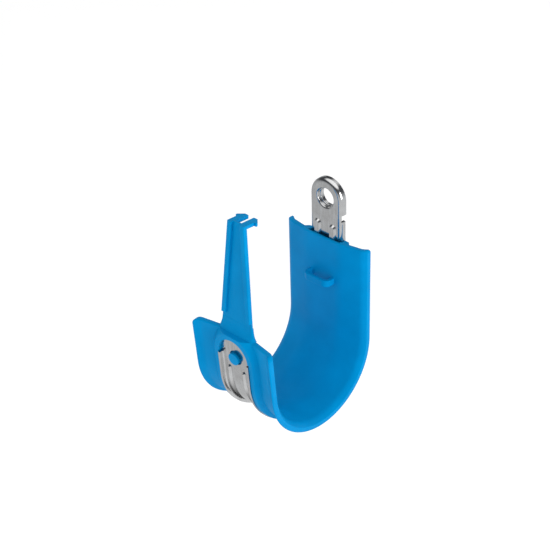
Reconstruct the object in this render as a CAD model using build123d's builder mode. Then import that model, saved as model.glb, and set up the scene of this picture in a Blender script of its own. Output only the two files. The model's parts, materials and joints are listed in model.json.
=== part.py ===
from build123d import *
from collections import Counter
from math import atan2, cos, degrees, radians, sin, tan
import os

# Cable J-hook: a blue plastic saddle carried by a pressed steel strap with a tapped eye.
# X runs along the cables, Y from the front lip to the back wall, Z is up.
# The origin is on the axis of the tapped eye, in the back face of the strap's web.

# Saddle
trough_diameter = 50.8
saddle_width = 47.0
wall = 2.4
flat_width = 19.0
flare_angle = 9.6
flare_blend = 24.0
rim_width = 2.1
rim_angle = 38.0
rim_blend = 4.5
lip_height = 23.6
lip_lean = 4.5
lip_corner = 2.2
back_height = 45.6
back_corner = 1.2
edge_round = 0.6

# Thick band of the saddle that carries the strap in a channel
band_top_width = 23.0
band_slope = 45.0
band_rise = 1.5
band_round = 1.3
channel_clearance = 0.15
channel_floor = 1.2
head_clearance = 0.2

# Steel strap
strap_width = 18.3
strap_thickness = 1.2
flange_depth = 3.1
bend_radius = 2.0
eye_height = 64.0
eye_rim_depth = 3.6
hole_diameter = 9.0
hole_entry = 1.0
collar_wall = 1.1
collar_depth = 4.2
notch_height = 3.1
notch_below_hole = 7.8
notch_depth = 0.5
rib_spacing = 8.8
rib_base = 4.0
rib_crest = 2.4
rib_rise = 1.0
rib_top = 52.3
rib_front_end = 6.4
head_width = 16.8
head_height = 13.1
front_flange_end = 12.0
relief = 0.9
rib_mouth_width = 3.0
rib_mouth_height = 2.4

# Stud that holds the strap's head
stud_height = 11.9
stud_diameter = 5.9
stud_cap = 1.2
stud_rise = 1.7
stud_neck = 4.4
stud_edge = 0.3
stud_hole_diameter = 7.2

# Loop on the back wall that takes the latch
loop_width = 14.8
loop_height = 3.2
loop_standoff = 5.3
loop_wall = 1.7
loop_base = 23.9
loop_corner = 3.2
loop_round = 0.35

# Latch on its living hinge
web = 1.0
hinge_rise = 1.3
hinge_gap = 0.3
latch_lean = 3.3
latch_root_width = 18.3
latch_tip_width = 9.6
latch_rib_width = 2.45
latch_rib_rise = 1.25
latch_rib_start = 7.0
latch_round = 0.35
latch_back_round = 0.6
prong_thickness = 1.5
prong_gap = 3.0
prong_clearance = 0.45
barb_rise = 1.2
barb_land = 0.9
barb_taper = 2.4
barb_round = 0.3
seat_gap = 0.45
catch_gap = 0.25

# Worked out from the sizes above
trough_radius = trough_diameter / 2
half_width = saddle_width / 2
strap_inner = trough_radius + wall
strap_outer = strap_inner + strap_thickness
band_radius = strap_outer + band_rise
centre = Vector(0, -strap_outer, -eye_height)
trough_axis = Axis(centre, (-1, 0, 0))
trough_turn = 180 - lip_lean
seat_depth = band_rise + 2 * strap_thickness
lean = radians(lip_lean)
lip_up = Vector(0, -sin(lean), cos(lean))
lip_out = Vector(0, -cos(lean), -sin(lean))
back_inside = centre.Y + trough_radius
rib_places = (-rib_spacing / 2, rib_spacing / 2)
groove_inset = strap_thickness / 2
rib_run = rib_top - rib_base / 2
front_rib_run = rib_front_end - rib_base / 2
cone_align = (Align.CENTER, Align.CENTER, Align.MIN)
eye_foot = notch_below_hole - notch_height / 2
loop_root = back_inside + channel_floor / 2

# The hinge stands above the lip, and the latch is as long as it must be to drop its prongs into the loop
hinge = centre + lip_out * (trough_radius + web / 2) + lip_up * (lip_height + hinge_rise)
slot_y = back_inside - loop_standoff + loop_wall + prong_clearance + prong_thickness / 2
shut_y = slot_y - hinge.Y
shut_z = centre.Z + loop_base + loop_height + seat_gap + web / 2 - hinge.Z
shut_rise = degrees(atan2(shut_z, shut_y))
latch_length = (shut_y**2 + shut_z**2) ** 0.5 + prong_thickness / 2
prong_side = latch_tip_width / 2
shoulder = seat_gap + loop_height + catch_gap
barb_side = prong_side + barb_rise
barb_end = shoulder + barb_land
tolerance = 0.01

# Section planes: local x along the cables, local y out from the trough's axis
back_section = Plane(centre, x_dir=(1, 0, 0), z_dir=(0, 0, 1))
lip_section = Plane(centre, x_dir=(1, 0, 0), z_dir=lip_up * -1)

# Face planes: local y up the wall, the lip or the latch
back_front = Plane(centre, x_dir=(1, 0, 0), z_dir=(0, -1, 0))
eye_face = Plane((0, -strap_thickness, 0), x_dir=(-1, 0, 0), z_dir=(0, 1, 0))
latch_up = Vector(0, sin(radians(latch_lean)), cos(radians(latch_lean)))
latch_face = Plane(hinge, x_dir=(1, 0, 0), z_dir=latch_up.cross(Vector(-1, 0, 0)))
latch_top = latch_face.from_local_coords((0, latch_length, -web / 2))
prong_face = Plane(latch_top, x_dir=(1, 0, 0), z_dir=latch_up)


def lip_face(radius):
    """Plane along the lip: local y up the lip, local z outwards, at a radius from the trough's axis."""
    return Plane(centre + lip_out * radius, x_dir=(1, 0, 0), z_dir=lip_out)


seat_face = lip_face(strap_inner)
lip_inward = Plane(seat_face.origin, x_dir=(-1, 0, 0), z_dir=lip_out * -1)
lip_top = Plane(centre + lip_up * lip_height, x_dir=(1, 0, 0), z_dir=lip_up)


def shell_section(plane):
    """Section of the saddle's wall: a level floor, two flared wings and a steeper rim on each side."""
    flare = radians(flare_angle)
    rim = radians(rim_angle)
    flat = flat_width / 2
    rim_start = half_width - rim_width
    rim_foot = trough_radius + (rim_start - flat) * tan(flare)
    rim_tip = rim_foot + rim_width * tan(rim)
    flat_out = flat - wall * tan(flare / 2)
    rim_start_out = rim_start - wall * tan((flare + rim) / 2)
    rim_foot_out = trough_radius + wall + (rim_start_out - flat_out) * tan(flare)
    rim_tip_out = rim_foot_out + (half_width - rim_start_out) * tan(rim)
    inside = [(flat, trough_radius), (rim_start, rim_foot), (half_width, rim_tip)]
    outside = [(flat_out, trough_radius + wall), (rim_start_out, rim_foot_out), (half_width, rim_tip_out)]
    radii = [rim_blend, flare_blend, flare_blend, rim_blend]
    with BuildSketch(plane) as section:
        with BuildLine():
            floor = FilletPolyline([(-x, y) for x, y in reversed(inside)] + inside, radius=radii)
            under = FilletPolyline([(-x, y) for x, y in reversed(outside)] + outside, radius=radii)
            Line(floor @ 0, under @ 0)
            Line(floor @ 1, under @ 1)
        make_face()
    return section.sketch


def band_section(plane, whole):
    """Section of the thick band behind the trough, with sloping sides that run down into the wall."""
    top = band_top_width / 2
    low = trough_radius + wall / 2
    foot = top + (band_radius - low) / tan(radians(band_slope))
    with BuildSketch(plane) as section:
        with BuildLine():
            FilletPolyline((0, band_radius), (top, band_radius), (foot, low), radius=band_round)
            Polyline((foot, low), (0, low), (0, band_radius))
        make_face()
        if whole:
            mirror(about=Plane.YZ)
    return section.sketch


def channel_section(plane):
    """Section of the channel that takes the strap, open outwards."""
    depth = wall + strap_thickness + band_rise
    with BuildSketch(plane) as section:
        with Locations((0, trough_radius + channel_floor + depth / 2)):
            Rectangle(strap_width + 2 * channel_clearance, depth)
    return section.sketch


def rib_corners(x, level, inset):
    """Corners of one rib's bump at the web's inner face, or of its groove at the outer face."""
    base = rib_base / 2 - inset
    crest = rib_crest / 2 - inset
    floor = level - rib_rise
    return [(x - base, level), (x + base, level), (x + crest, floor), (x - crest, floor)]


def strap_section(plane, ribbed):
    """Section of the strap: a web with flanges bent outwards and, where ribbed, two ribs bent inwards."""
    inside = strap_width / 2 - strap_thickness
    edge = strap_inner + flange_depth
    with BuildSketch(plane) as section:
        with Locations((0, strap_inner + flange_depth / 2)):
            Rectangle(strap_width, flange_depth)
        fillet(section.vertices().group_by(Axis.Y)[0], bend_radius)
        with BuildLine():
            corners = [(-inside, edge), (-inside, strap_outer), (inside, strap_outer), (inside, edge)]
            FilletPolyline(corners, radius=bend_radius - strap_thickness)
            Line((inside, edge), (-inside, edge))
        make_face(mode=Mode.SUBTRACT)
        if ribbed:
            for x in rib_places:
                with BuildLine():
                    Polyline(*rib_corners(x, strap_inner, 0), close=True)
                make_face()
                with BuildLine():
                    Polyline(*rib_corners(x, strap_outer, groove_inset), close=True)
                make_face(mode=Mode.SUBTRACT)
    return section.sketch


def head_outline(plane, margin, foot):
    """Outline of the strap's round head on the lip, from a foot height up, grown by a margin."""
    half = head_width / 2 + margin
    with BuildSketch(plane) as outline:
        with Locations((0, (foot + head_height) / 2)):
            Rectangle(2 * half, head_height - foot)
        with Locations((0, head_height)):
            Circle(half)
    return outline.sketch


def eye_outline(plane, inset):
    """Outline of the strap's eye: a round top on two straight sides that end above the notches."""
    half = strap_width / 2 - inset
    with BuildSketch(plane) as outline:
        with BuildLine():
            Polyline((half, 0), (half, -eye_foot), (-half, -eye_foot), (-half, 0))
            CenterArc((0, 0), half, 0, 180)
        make_face()
    return outline.sketch


def corner_cutter(plane, height, radius):
    """Outline of the two top corners to take off a wall of the saddle's width."""
    with BuildSketch(plane) as outline:
        for side in (-1, 1):
            with Locations((side * (half_width - radius / 2), height - radius / 2)):
                Rectangle(radius, radius)
            with Locations((side * (half_width - radius), height - radius)):
                Circle(radius, mode=Mode.SUBTRACT)
    return outline.sketch


def outline_edges(faces):
    """Edges that only one of the faces has: the outline around all of them."""
    uses = Counter(edge for face in faces for edge in face.edges())
    return [edge for edge, count in uses.items() if count == 1]


def is_rim(face):
    """True for the faces that close the wall's edge: both ends, both tops and the round corners."""
    middle = face.center()
    at_end = abs(abs(middle.X) - half_width) < tolerance
    at_back = abs(middle.Z - centre.Z - back_height) < tolerance
    at_lip = abs((middle - centre).dot(lip_up) - lip_height) < tolerance and middle.Y < centre.Y
    corner = face.geom_type == GeomType.CYLINDER and abs(face.axis_of_rotation.direction.Y) > 0.5
    return at_end or at_back or at_lip or corner


def is_loop(face):
    """True for the loop's upper and lower faces."""
    middle = face.center()
    above = middle.Z - centre.Z - loop_base
    level = abs(above) < tolerance or abs(above - loop_height) < tolerance
    return level and middle.Y < back_inside


def is_barb_edge(edge):
    """True for the upright edges at the barbs' corners, apart from those in the shoulders."""
    spot = prong_face.to_local_coords(edge.center())
    upright = abs(edge.length - prong_thickness) < tolerance
    in_prong = abs(spot.Z + prong_thickness / 2) < tolerance
    past_shoulder = spot.Y > shoulder + tolerance
    barb_corner = spot.Y > shoulder - tolerance and abs(spot.X) > prong_side + tolerance
    return upright and in_prong and (past_shoulder or barb_corner)


def is_rib_edge(edge):
    """True for the long edges along the crests of the latch's ribs."""
    height = latch_face.to_local_coords(edge.center()).Z
    return edge.length > latch_length / 2 and abs(height - web / 2 - latch_rib_rise) < tolerance


# Saddle: wall, band with channel, stud, loop and the foot of the hinge
with BuildPart() as saddle:
    extrude(shell_section(back_section), amount=back_height)
    revolve(shell_section(back_section), axis=trough_axis, revolution_arc=trough_turn)
    extrude(shell_section(lip_section), amount=-lip_height)
    extrude(corner_cutter(back_front, back_height, back_corner), amount=-saddle_width, mode=Mode.SUBTRACT)
    extrude(corner_cutter(lip_face(0), lip_height, lip_corner), amount=saddle_width, mode=Mode.SUBTRACT)
    fillet(outline_edges(saddle.faces().filter_by(is_rim)), edge_round)

    # Band, with a round end on the lip that is cut off level with the lip's top
    extrude(band_section(back_section, True), amount=back_height - edge_round)
    revolve(band_section(back_section, True), axis=trough_axis, revolution_arc=trough_turn)
    extrude(band_section(lip_section, True), amount=-head_height)
    head_axis = Axis(centre + lip_up * head_height, lip_out)
    revolve(band_section(lip_section.offset(-head_height), False), axis=head_axis)
    with BuildSketch(lip_top):
        with Locations((0, -band_radius)):
            Rectangle(saddle_width, band_radius)
    extrude(amount=saddle_width, mode=Mode.SUBTRACT)

    # Channel for the strap and its ribs, and a shallower seat for the strap's front end
    extrude(channel_section(back_section), amount=back_height, mode=Mode.SUBTRACT)
    revolve(channel_section(back_section), axis=trough_axis, revolution_arc=trough_turn, mode=Mode.SUBTRACT)
    extrude(channel_section(lip_section), amount=-rib_front_end - rib_rise, mode=Mode.SUBTRACT)
    extrude(head_outline(seat_face, head_clearance, 0), amount=seat_depth, mode=Mode.SUBTRACT)
    with BuildSketch(seat_face):
        with Locations((0, (front_flange_end + relief) / 2)):
            Rectangle(strap_width + 2 * channel_clearance, front_flange_end + relief)
    extrude(amount=seat_depth, mode=Mode.SUBTRACT)

    # Stud: a neck through the strap's hole under a wider cap
    with BuildSketch(seat_face):
        with Locations((0, stud_height)):
            Circle(stud_neck / 2)
    extrude(amount=strap_thickness + stud_rise)
    with BuildSketch(lip_face(strap_outer + stud_rise - stud_cap)):
        with Locations((0, stud_height)):
            Circle(stud_diameter / 2)
    extrude(amount=stud_cap)
    stud_top = centre + lip_out * (strap_outer + stud_rise) + lip_up * stud_height
    fillet(saddle.faces().sort_by_distance(stud_top)[0].edges(), stud_edge)

    # Loop
    with BuildSketch(Plane.XY.offset(centre.Z + loop_base)):
        for inset, mode in ((0, Mode.ADD), (loop_wall, Mode.SUBTRACT)):
            side = loop_width / 2 - inset
            front = back_inside - loop_standoff + inset
            with BuildLine():
                corners = [(-side, loop_root), (-side, front), (side, front), (side, loop_root)]
                FilletPolyline(corners, radius=loop_corner - inset)
                Line((-side, loop_root), (side, loop_root))
            make_face(mode=mode)
    extrude(amount=loop_height)
    loop_faces = saddle.faces().filter_by(Plane.XY).filter_by(is_loop)
    loop_edges = loop_faces.edges().filter_by(lambda edge: edge.center().Y < back_inside - tolerance)
    fillet(loop_edges, loop_round)

    # Foot of the hinge
    with BuildSketch(lip_top.offset(-2 * edge_round)):
        with Locations((0, -trough_radius - web / 2)):
            Rectangle(latch_root_width, web)
    extrude(amount=2 * edge_round + hinge_rise - web / 2 - hinge_gap)

# Strap: eye with its drawn rim and tapped collar, then the ribbed channel down, round and up to the head
with BuildPart() as strap:
    extrude(eye_outline(eye_face, 0), amount=eye_rim_depth)
    fillet(strap.faces().sort_by(Axis.Y)[0].edges().sort_by(Axis.Z)[1:], bend_radius)
    hollow = eye_outline(eye_face.offset(strap_thickness), strap_thickness)
    extrude(hollow, amount=eye_rim_depth, mode=Mode.SUBTRACT)
    with BuildSketch(eye_face):
        Circle(hole_diameter / 2 + collar_wall)
    extrude(amount=collar_depth)
    with BuildSketch(eye_face):
        Circle(hole_diameter / 2)
    extrude(amount=collar_depth, mode=Mode.SUBTRACT)
    fillet(strap.faces().sort_by(Axis.Y)[0].inner_wires()[0].edges(), hole_entry)

    extrude(strap_section(back_section.offset(rib_run), False), amount=eye_height - eye_foot - rib_run)
    extrude(strap_section(back_section, True), amount=rib_run)
    revolve(strap_section(back_section, True), axis=trough_axis, revolution_arc=trough_turn)
    extrude(strap_section(lip_section, True), amount=-front_rib_run)
    plain_front = lip_section.offset(-front_rib_run)
    extrude(strap_section(plain_front, False), amount=front_rib_run - front_flange_end)
    extrude(head_outline(seat_face, 0, front_rib_run), amount=strap_thickness)

    # Round ends of the ribs, inside and out
    for face, run in ((back_front.offset(-strap_inner), rib_run), (lip_inward, front_rib_run)):
        for x in rib_places:
            with Locations(face.location * Location((x, run, 0))):
                Cone(rib_base / 2, rib_crest / 2, rib_rise, align=cone_align)
            with Locations(face.location * Location((x, run, -strap_thickness))):
                Cone(
                    rib_base / 2 - groove_inset,
                    rib_crest / 2 - groove_inset,
                    rib_rise,
                    align=cone_align,
                    mode=Mode.SUBTRACT,
                )

    # Openings at the front ends of the ribs, and relief cuts where the flanges end
    with BuildSketch(seat_face.offset(-2 * rib_rise)):
        for x in rib_places:
            with BuildLine():
                Polyline(
                    (x - rib_mouth_width / 2, rib_front_end - rib_mouth_height),
                    (x + rib_mouth_width / 2, rib_front_end - rib_mouth_height),
                    (x, rib_front_end),
                    close=True,
                )
            make_face()
        for side in (-1, 1):
            with Locations((side * strap_width / 2, front_flange_end + relief / 2)):
                Rectangle(2 * strap_thickness, relief)
    extrude(amount=2 * rib_rise + strap_thickness + flange_depth, mode=Mode.SUBTRACT)

    # Hole for the stud
    with BuildSketch(seat_face):
        with Locations((0, stud_height)):
            Circle(stud_hole_diameter / 2)
    extrude(amount=strap_thickness, mode=Mode.SUBTRACT)

    # Notches between the eye's rim and the long flanges
    for side in (-1, 1):
        with BuildSketch(Plane.XY.offset(-notch_below_hole - notch_height / 2)):
            with Locations((side * (strap_width - notch_depth), 0)):
                Rectangle(strap_width, 2 * strap_width)
            with Locations((side * (strap_width - bend_radius - strap_thickness), strap_width / 2)):
                Rectangle(strap_width, strap_width)
        extrude(amount=notch_height, mode=Mode.SUBTRACT)

# Latch: a tapered web with two ribs and two barbed prongs, standing on the hinge
with BuildPart() as latch:
    with BuildSketch(latch_face.offset(-web / 2)):
        with BuildLine():
            Polyline(
                (-latch_root_width / 2, 0),
                (latch_root_width / 2, 0),
                (latch_tip_width / 2, latch_length),
                (-latch_tip_width / 2, latch_length),
                close=True,
            )
        make_face()
    extrude(amount=web)
    back_face = latch.faces().filter_by(latch_face).sort_by(Axis.Y)[-1]
    fillet(back_face.edges().filter_by(lambda edge: edge.length > latch_length), latch_back_round)
    with BuildSketch(Plane(hinge, x_dir=(0, 1, 0), z_dir=(1, 0, 0))):
        Circle(web / 2)
    extrude(amount=latch_root_width / 2, both=True)

    # Side ribs
    start_width = latch_root_width - (latch_root_width - latch_tip_width) * latch_rib_start / latch_length
    for side in (-1, 1):
        with BuildSketch(latch_face.offset(web / 2)):
            with BuildLine():
                Polyline(
                    (side * start_width / 2, latch_rib_start),
                    (side * latch_tip_width / 2, latch_length),
                    (side * (latch_tip_width / 2 - latch_rib_width), latch_length),
                    (side * (start_width / 2 - latch_rib_width), latch_rib_start),
                    close=True,
                )
            make_face()
        extrude(amount=latch_rib_rise)
    fillet(latch.edges().filter_by(is_rib_edge), latch_round)

    # Prongs that drop into the loop, with barbs that catch under it
    for side in (-1, 1):
        with BuildSketch(prong_face):
            with BuildLine():
                Polyline(
                    (side * prong_gap / 2, -web / 2),
                    (side * prong_side, -web / 2),
                    (side * prong_side, shoulder),
                    (side * barb_side, shoulder),
                    (side * barb_side, barb_end),
                    (side * (barb_side - barb_taper), barb_end + barb_taper),
                    (side * prong_gap / 2, barb_end + barb_taper),
                    close=True,
                )
            make_face()
        extrude(amount=-prong_thickness)
    fillet(latch.edges().filter_by(is_barb_edge), barb_round)

os.makedirs("parts", exist_ok=True)
saddle.part.label = "saddle"
strap.part.label = "steel_strap"
latch.part.label = "latch"
export_step(saddle.part, "parts/saddle.step")
export_step(strap.part, "parts/steel_strap.step")
export_step(latch.part, "parts/latch.step")

print("hinge axis", hinge, "latch length", latch_length)
print("travel to shut", 90 - latch_lean - shut_rise)
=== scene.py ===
# %% [markdown]
# # A cable J-hook, dressed for its portrait
#
# The hook is a blue moulded saddle hung on a pressed steel strap. Data cables lie in the saddle's trough,
# and a latch on a thin hinge of the same plastic swings over to keep them in.
# The solids come ready-made and in place from the frame. This lesson gives them their plastic and zinc,
# adds the few shapes that are better drawn as surfaces, and sets up the studio.

# %% Load the frame and keep its box
import json
from math import cos, pi, radians, sin

import bmesh
import bpy
import numpy as np
from mathutils import Matrix, Vector


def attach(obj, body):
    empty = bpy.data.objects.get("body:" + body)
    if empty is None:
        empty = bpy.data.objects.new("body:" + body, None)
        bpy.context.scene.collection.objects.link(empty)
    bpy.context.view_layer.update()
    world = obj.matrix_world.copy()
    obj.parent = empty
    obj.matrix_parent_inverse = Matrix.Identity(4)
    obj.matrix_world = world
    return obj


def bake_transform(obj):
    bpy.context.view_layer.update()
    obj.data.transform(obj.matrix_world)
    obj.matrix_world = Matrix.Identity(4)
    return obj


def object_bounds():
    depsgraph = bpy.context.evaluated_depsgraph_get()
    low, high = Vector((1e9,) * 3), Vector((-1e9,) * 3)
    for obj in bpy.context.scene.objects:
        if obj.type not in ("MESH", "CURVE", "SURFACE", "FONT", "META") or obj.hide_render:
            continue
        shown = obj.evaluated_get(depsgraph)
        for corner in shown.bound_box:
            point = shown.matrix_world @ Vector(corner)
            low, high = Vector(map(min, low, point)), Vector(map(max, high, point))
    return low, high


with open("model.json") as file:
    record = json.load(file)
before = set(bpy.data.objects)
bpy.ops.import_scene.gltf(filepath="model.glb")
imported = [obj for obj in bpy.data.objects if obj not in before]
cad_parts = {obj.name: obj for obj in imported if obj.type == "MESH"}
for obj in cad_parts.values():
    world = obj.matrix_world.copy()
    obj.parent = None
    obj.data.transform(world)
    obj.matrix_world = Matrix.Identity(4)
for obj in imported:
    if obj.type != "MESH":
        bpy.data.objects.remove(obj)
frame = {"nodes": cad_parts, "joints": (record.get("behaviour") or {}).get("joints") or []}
cad_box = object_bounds()
MM = 0.001
hinge_joint = next(joint for joint in frame["joints"] if joint["name"] == "latch_hinge")
hinge = np.array(hinge_joint["pos_m"]) / MM
print("solids", sorted(frame["nodes"]), "hinge axis at", hinge.round(2), "mm")

# %% [markdown]
# ## Small tools
#
# A piece is a grid of points, rows by columns, worked out in millimetres as one array. Its faces are the
# squares between neighbours, and each row can close on itself.
# Working on whole arrays is faster than adding vertices one by one, and the formula stays in one line.


# %% A grid of points becomes a mesh
def grid_faces(rows, columns, close_columns=False):
    """Corner numbers of the squares between neighbouring points: each square is a point, the next along
    its row, and the same two of the next row."""
    row = np.arange(rows - 1)[:, None]
    column = np.arange(columns if close_columns else columns - 1)[None, :]
    below = row * columns
    above = (row + 1) * columns
    after = (column + 1) % columns
    return np.stack([below + column, below + after, above + after, above + column], axis=-1).reshape(-1, 4)


def add_piece(name, points, faces, material, smooth=True):
    """Puts points (in millimetres) and faces into a mesh object at the origin, with one material."""
    mesh = bpy.data.meshes.new(name)
    mesh.from_pydata((points.reshape(-1, 3) * MM).tolist(), [], [list(face) for face in faces])
    mesh.polygons.foreach_set("use_smooth", np.full(len(mesh.polygons), smooth))
    mesh.materials.append(material)
    outward = bmesh.new()
    outward.from_mesh(mesh)
    bmesh.ops.recalc_face_normals(outward, faces=outward.faces)
    outward.to_mesh(mesh)
    outward.free()
    mesh.update()
    piece = bpy.data.objects.new(name, mesh)
    bpy.context.scene.collection.objects.link(piece)
    print(name, len(mesh.polygons), "faces")
    return piece


# %% Colours and nodes
def linear(code):
    """Linear colour of an sRGB hex code: each channel is (c + 0.055) / 1.055 to the power 2.4, or c / 12.92
    where it is very dark."""
    channel = np.array([int(code[i : i + 2], 16) for i in (1, 3, 5)]) / 255
    straight = np.where(channel <= 0.04045, channel / 12.92, ((channel + 0.055) / 1.055) ** 2.4)
    return (*straight.tolist(), 1.0)


def add_node(tree, kind, values=(), links=(), **settings):
    """Adds a node: settings are its own properties, values go on its inputs, and links come from other
    outputs."""
    node = tree.nodes.new(kind)
    for key, value in settings.items():
        setattr(node, key, value)
    for key, value in dict(values).items():
        node.inputs[key].default_value = value
    for key, source in dict(links).items():
        tree.links.new(source, node.inputs[key])
    return node


def new_material(name):
    """An empty material with its node tree, its Principled shader and the Object coordinates in metres."""
    material = bpy.data.materials.new(name)
    material.use_nodes = True
    tree = material.node_tree
    shader = tree.nodes["Principled BSDF"]
    place = add_node(tree, "ShaderNodeTexCoord").outputs["Object"]
    return material, tree, shader, place


# %% [markdown]
# ## Moulded polypropylene
#
# The saddle and the latch are one moulding of bright blue polypropylene. The steel of the mould was lightly
# spark-eroded, so the skin has a fine grain and a broad, soft shine. Where the melt flowed, the colour is a
# little uneven, over a centimetre or so.
# Noise in Object coordinates gives all of it, because it runs through the part as the colour of the plastic
# does and needs no unwrapping.

# %% Blue moulded plastic
plastic, tree, shader, place = new_material("moulded_polypropylene_blue")
# The eye sees one clear blue, a shade darker in drifts, with a soft sheen that breaks up at close range.
drift = add_node(tree, "ShaderNodeTexNoise", {"Scale": 1 / (14 * MM), "Detail": 3.0}, {"Vector": place})
tint = add_node(tree, "ShaderNodeValToRGB", links={"Fac": drift.outputs["Fac"]})
tint.color_ramp.elements[0].position = 0.3
tint.color_ramp.elements[0].color = linear("#0080BC")
tint.color_ramp.elements[1].position = 0.75
tint.color_ramp.elements[1].color = linear("#008AC8")
tree.links.new(tint.outputs["Color"], shader.inputs["Base Color"])
bloom = add_node(tree, "ShaderNodeTexNoise", {"Scale": 1 / (5 * MM), "Detail": 2.0}, {"Vector": place})
sheen = add_node(
    tree, "ShaderNodeMapRange", {"To Min": 0.34, "To Max": 0.46}, {"Value": bloom.outputs["Fac"]}
)
tree.links.new(sheen.outputs["Result"], shader.inputs["Roughness"])
# The real grain is under 0.1 mm. It is drawn 0.5 mm wide, or it would not show at this distance.
grain = add_node(tree, "ShaderNodeTexNoise", {"Scale": 1 / (0.5 * MM), "Detail": 2.0}, {"Vector": place})
skin = add_node(
    tree,
    "ShaderNodeBump",
    {"Strength": 0.12, "Distance": 0.05 * MM},
    {"Height": grain.outputs["Fac"]},
)
tree.links.new(skin.outputs["Normal"], shader.inputs["Normal"])
shader.inputs["IOR"].default_value = 1.49
# The sheen is faint and takes some of the blue.
shader.inputs["Specular IOR Level"].default_value = 0.06
shader.inputs["Specular Tint"].default_value = linear("#4CC4FF")
print(plastic.name)

# %% [markdown]
# ## Zinc-plated pressed steel
#
# The strap is pressed from sheet and then plated with bright zinc. The plating follows the rolling marks of
# the sheet, which run along the strap, all the way round the J. The strap never turns away from the plane of
# the J, so marks that are narrow across X and long in Y and Z run along it everywhere.

# %% Grey zinc plate
zinc, tree, shader, place = new_material("zinc_plated_steel_pressed")
# The eye sees a bright grey metal, streaked along its length and duller in small clouds.
stretch = add_node(
    tree, "ShaderNodeMapping", {"Scale": (1 / (0.5 * MM), 1 / (9 * MM), 1 / (9 * MM))}, {"Vector": place}
)
rolling = add_node(
    tree, "ShaderNodeTexNoise", {"Scale": 1.0, "Detail": 3.0}, {"Vector": stretch.outputs["Vector"]}
)
cloud = add_node(tree, "ShaderNodeTexNoise", {"Scale": 1 / (4 * MM), "Detail": 4.0}, {"Vector": place})
both = add_node(
    tree,
    "ShaderNodeMath",
    links={0: rolling.outputs["Fac"], 1: cloud.outputs["Fac"]},
    operation="MULTIPLY",
)
tint = add_node(tree, "ShaderNodeValToRGB", links={"Fac": both.outputs["Value"]})
tint.color_ramp.elements[0].position = 0.1
tint.color_ramp.elements[0].color = linear("#CCCBCA")
tint.color_ramp.elements[1].position = 0.45
tint.color_ramp.elements[1].color = linear("#E4E5E6")
tree.links.new(tint.outputs["Color"], shader.inputs["Base Color"])
dull = add_node(tree, "ShaderNodeMapRange", {"To Min": 0.1, "To Max": 0.2}, {"Value": cloud.outputs["Fac"]})
tree.links.new(dull.outputs["Result"], shader.inputs["Roughness"])
skin = add_node(
    tree,
    "ShaderNodeBump",
    {"Strength": 0.1, "Distance": 0.03 * MM},
    {"Height": rolling.outputs["Fac"]},
)
tree.links.new(skin.outputs["Normal"], shader.inputs["Normal"])
shader.inputs["Metallic"].default_value = 1.0
print(zinc.name)

# %% The solids take their finishes
for node, material in (("saddle", plastic), ("latch", plastic), ("steel_strap", zinc)):
    solid = frame["nodes"][node]
    solid.data.materials.clear()
    solid.data.materials.append(material)

# %% [markdown]
# ## Thread of the eye
#
# The eye is tapped for a threaded rod, sixteen turns to the inch. A thread can be a real screw cut in the
# solid, a bump in the finish, or a ridge laid on the wall of the bore.
# The ridge is used here. It catches light as a thread does, and it leaves the solid's bore plain and true.

# %% A ridge winds round the bore
bore_radius = 4.5
pitch = 25.4 / 16
ridge_start = 0.0
ridge_end = 2.35
ridge_sink = 0.1
ridge_depth = 0.55
ridge_foot = 0.62
ridge_crest = 0.12


def thread_ridge(steps):
    """A blunt ridge along a helix round Y. Its place along Y grows by one pitch per turn, and its height and
    width shrink to almost nothing over the first and last sixth of a turn."""
    angle = np.linspace(0.0, 2 * pi * (ridge_end - ridge_start) / pitch, steps)
    fade = np.clip(np.minimum(angle, angle[-1] - angle) / (pi / 3), 0.05, 1.0)[:, None]
    turned = angle[:, None]
    inward = np.array([0.0, ridge_depth, ridge_depth, 0.0])
    sideways = np.array([-ridge_foot, -ridge_crest, ridge_crest, ridge_foot])
    radius = bore_radius + ridge_sink - fade * inward
    along = ridge_start + pitch * turned / (2 * pi) + fade * sideways
    return np.stack([radius * np.cos(turned), along, radius * np.sin(turned)], axis=-1)


ridge_points = thread_ridge(180)
ridge_faces = grid_faces(*ridge_points.shape[:2], close_columns=True).tolist()
last = 4 * (len(ridge_points) - 1)
ridge_faces += [[3, 2, 1, 0], [last, last + 1, last + 2, last + 3]]
thread = add_piece("eye_thread", ridge_points, ridge_faces, zinc)
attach(thread, "hook")

# %% [markdown]
# ## Hinge web
#
# Saddle and latch are one moulding, joined by a thin web that bends. As solids they stop a third of a
# millimetre short of each other, so that the latch can turn.
# The web could be left out, or drawn stiff on one side. Here it is one closed skin that bends between the
# two, thick where it grows out of the lip and thin where it runs up the latch, as it is moulded.

# %% The web bends between saddle and latch
lip_lean = radians(4.5)
latch_lean = radians(3.3)
lip_up = np.array([0.0, -sin(lip_lean), cos(lip_lean)])
lip_out = np.array([0.0, -cos(lip_lean), -sin(lip_lean)])
latch_up = np.array([0.0, sin(latch_lean), cos(latch_lean)])
latch_out = np.array([0.0, -cos(latch_lean), sin(latch_lean)])
web_foot = -1.5
web_top = 4.5
web_half_depth = 0.52
web_reach = 1.6
web_flare = 1.3
root_half_width = 9.15
latch_taper = 0.084


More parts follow.
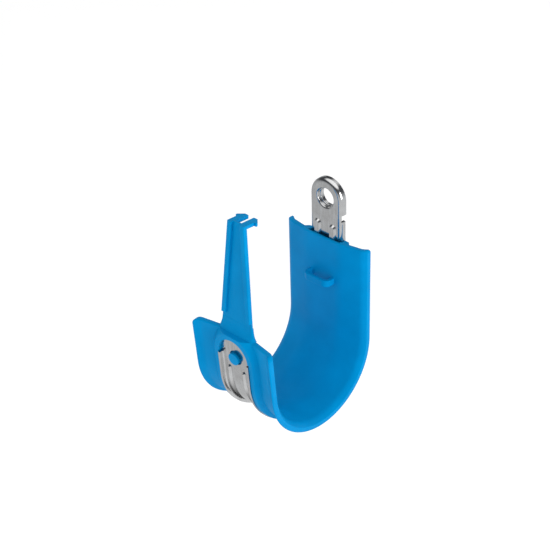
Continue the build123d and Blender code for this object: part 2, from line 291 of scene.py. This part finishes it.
def hinge_skin(rows, columns):
    """Rings stacked up the hinge, each a front row and a back row of points. The front stands out by the
    reach times the way still to go to the power two and a half, and the sides spread by the flare in the
    same way. Towards its sides the front falls back by up to half."""
    height = np.linspace(web_foot, web_top, rows)[:, None, None]
    left = np.linspace(1.0, 0.0, rows)[:, None, None] ** 2.5
    turn = np.clip(height / 2 + 0.5, 0.0, 1.0)
    turn = turn * turn * (3 - 2 * turn)
    up = (1 - turn) * lip_up + turn * latch_up
    out = (1 - turn) * lip_out + turn * latch_out
    across = np.linspace(-1.0, 1.0, columns)
    across = np.concatenate([across, across[::-1]])[None, :, None]
    is_front = (np.arange(2 * columns) < columns)[None, :, None]
    half = root_half_width - latch_taper * height + web_flare * left
    front = web_half_depth + web_reach * left * (1 - 0.5 * across**8)
    depth = np.where(is_front, front, -web_half_depth)
    return hinge + up * height + out * depth + np.array([1.0, 0.0, 0.0]) * across * half


web_columns = 25
web_points = hinge_skin(33, web_columns)
ring = 2 * web_columns
web_faces = grid_faces(len(web_points), ring, close_columns=True).tolist()
for base in (0, ring * (len(web_points) - 1)):
    for j in range(web_columns - 1):
        square = [base + j, base + j + 1, base + ring - 2 - j, base + ring - 1 - j]
        web_faces.append(square if base else square[::-1])
hinge_web = add_piece("hinge_web", web_points, web_faces, plastic)
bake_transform(hinge_web)

# %% [markdown]
# ## The studio
#
# The hook hangs in a white tent. A large soft light stands low on the right, and the floor is far enough
# below for the shadow to melt away. Polished metal would mirror an even tent as flat white, so reflected
# rays see a tent with one dark band, like the gap a photographer leaves to draw an edge on metal.
# The camera was fitted to the photograph: it looks down by about a third of a right angle, from halfway
# between the front and the right-hand side, with a very slight roll.

# %% Floor and lights
floor_level = cad_box[0].z / MM - 160.0
floor_reach = 4000.0
across = np.array([-floor_reach, floor_reach])
floor_points = np.stack([*np.meshgrid(across, across), np.full((2, 2), floor_level)], axis=-1)
white, tree, shader, place = new_material("painted_studio_floor")
mottle = add_node(tree, "ShaderNodeTexNoise", {"Scale": 1 / (60 * MM), "Detail": 2.0}, {"Vector": place})
dull = add_node(tree, "ShaderNodeMapRange", {"To Min": 0.8, "To Max": 0.9}, {"Value": mottle.outputs["Fac"]})
tree.links.new(dull.outputs["Result"], shader.inputs["Roughness"])
shader.inputs["Base Color"].default_value = linear("#FFFFFF")
# The floor glows a little, like a lit table, and so stays white under the darker top of the tent.
shader.inputs["Emission Color"].default_value = linear("#FFFFFF")
shader.inputs["Emission Strength"].default_value = 0.15
floor = add_piece("studio_floor", floor_points, grid_faces(2, 2), white, smooth=False)
floor.visible_glossy = False

middle = Vector((0.0, -29.0, -50.0)) * MM


def add_softbox(name, azimuth, elevation, distance, width, power):
    """A square light that looks at the hook from a bearing (0 is the front, 90 the right) and a height."""
    light = bpy.data.lights.new(name, "AREA")
    light.size = width
    light.energy = power
    lamp = bpy.data.objects.new(name, light)
    a = radians(azimuth)
    e = radians(elevation)
    way = Vector((sin(a) * cos(e), -cos(a) * cos(e), sin(e)))
    lamp.location = middle + way * distance
    lamp.rotation_euler = way.to_track_quat("Z", "Y").to_euler()
    bpy.context.scene.collection.objects.link(lamp)


add_softbox("key_right", 88.0, 14.0, 1.2, 0.7, 6.0)
world = bpy.data.worlds.new("studio")
world.use_nodes = True
tree = world.node_tree
tent = tree.nodes["Background"]
tent.inputs["Strength"].default_value = 1.36
direction = add_node(tree, "ShaderNodeTexCoord").outputs["Generated"]
part_of = add_node(tree, "ShaderNodeSeparateXYZ", links={"Vector": direction}).outputs
raised = add_node(tree, "ShaderNodeMapRange", {"From Min": -1.0}, {"Value": part_of["Z"]})


def add_bands(stops):
    """A ramp from straight down (0) over the horizon (0.5) to straight up (1), through the given shades."""
    ramp = add_node(tree, "ShaderNodeValToRGB", links={"Fac": raised.outputs["Result"]})
    for position, shade in stops:
        ramp.color_ramp.elements.new(position).color = linear(shade)
    return ramp.outputs["Color"]


# The tent is a little darker overhead, so the trough is darker than the outside of the lip.
tent_stops = ((0.01, "#FFFFFF"), (0.55, "#FFFFFF"), (0.75, "#D2D2D2"), (0.99, "#B4B4B4"))
tree.links.new(add_bands(tent_stops), tent.inputs["Color"])
# Metal sees a dark band above the horizon and a brighter right-hand side.
mirror_stops = ((0.1, "#C8C9CA"), (0.45, "#ACAEB0"), (0.66, "#3C3E42"), (0.83, "#46484C"), (0.91, "#FFFFFF"))
rightward = add_node(
    tree,
    "ShaderNodeMapRange",
    {"From Min": -0.7, "From Max": 0.7, "To Min": 1.0, "To Max": 1.4},
    {"Value": part_of["X"]},
)
mirrored = add_node(
    tree,
    "ShaderNodeBackground",
    links={"Color": add_bands(mirror_stops), "Strength": rightward.outputs["Result"]},
)
path = add_node(tree, "ShaderNodeLightPath")
mixed = add_node(
    tree,
    "ShaderNodeMixShader",
    links={
        0: path.outputs["Is Glossy Ray"],
        1: tent.outputs["Background"],
        2: mirrored.outputs["Background"],
    },
)
tree.links.new(mixed.outputs["Shader"], tree.nodes["World Output"].inputs["Surface"])
bpy.context.scene.world = world
bpy.context.scene.view_settings.view_transform = "Standard"

# %% Camera
view_bearing = radians(44.92)
view_height = radians(31.96)
view_roll = radians(-1.77)
view_distance = 624.6
view_shift = (4.105, -31.887)
view_target = Vector((0.0, -29.0, -64.0))
turn = (
    Matrix.Rotation(view_bearing, 4, "Z")
    @ Matrix.Rotation(pi / 2 - view_height, 4, "X")
    @ Matrix.Rotation(view_roll, 4, "Z")
)
eye = turn @ Vector((-view_shift[0], -view_shift[1], view_distance))
lens = bpy.data.cameras.new("camera")
lens.sensor_width = 36.0
lens.lens = 91.52
lens.clip_start = 0.01
camera = bpy.data.objects.new("camera", lens)
camera.matrix_world = Matrix.Translation((view_target + eye) * MM) @ turn
bpy.context.scene.collection.objects.link(camera)
bpy.context.scene.camera = camera
print("camera at", (view_target + eye).to_tuple(1), "mm")
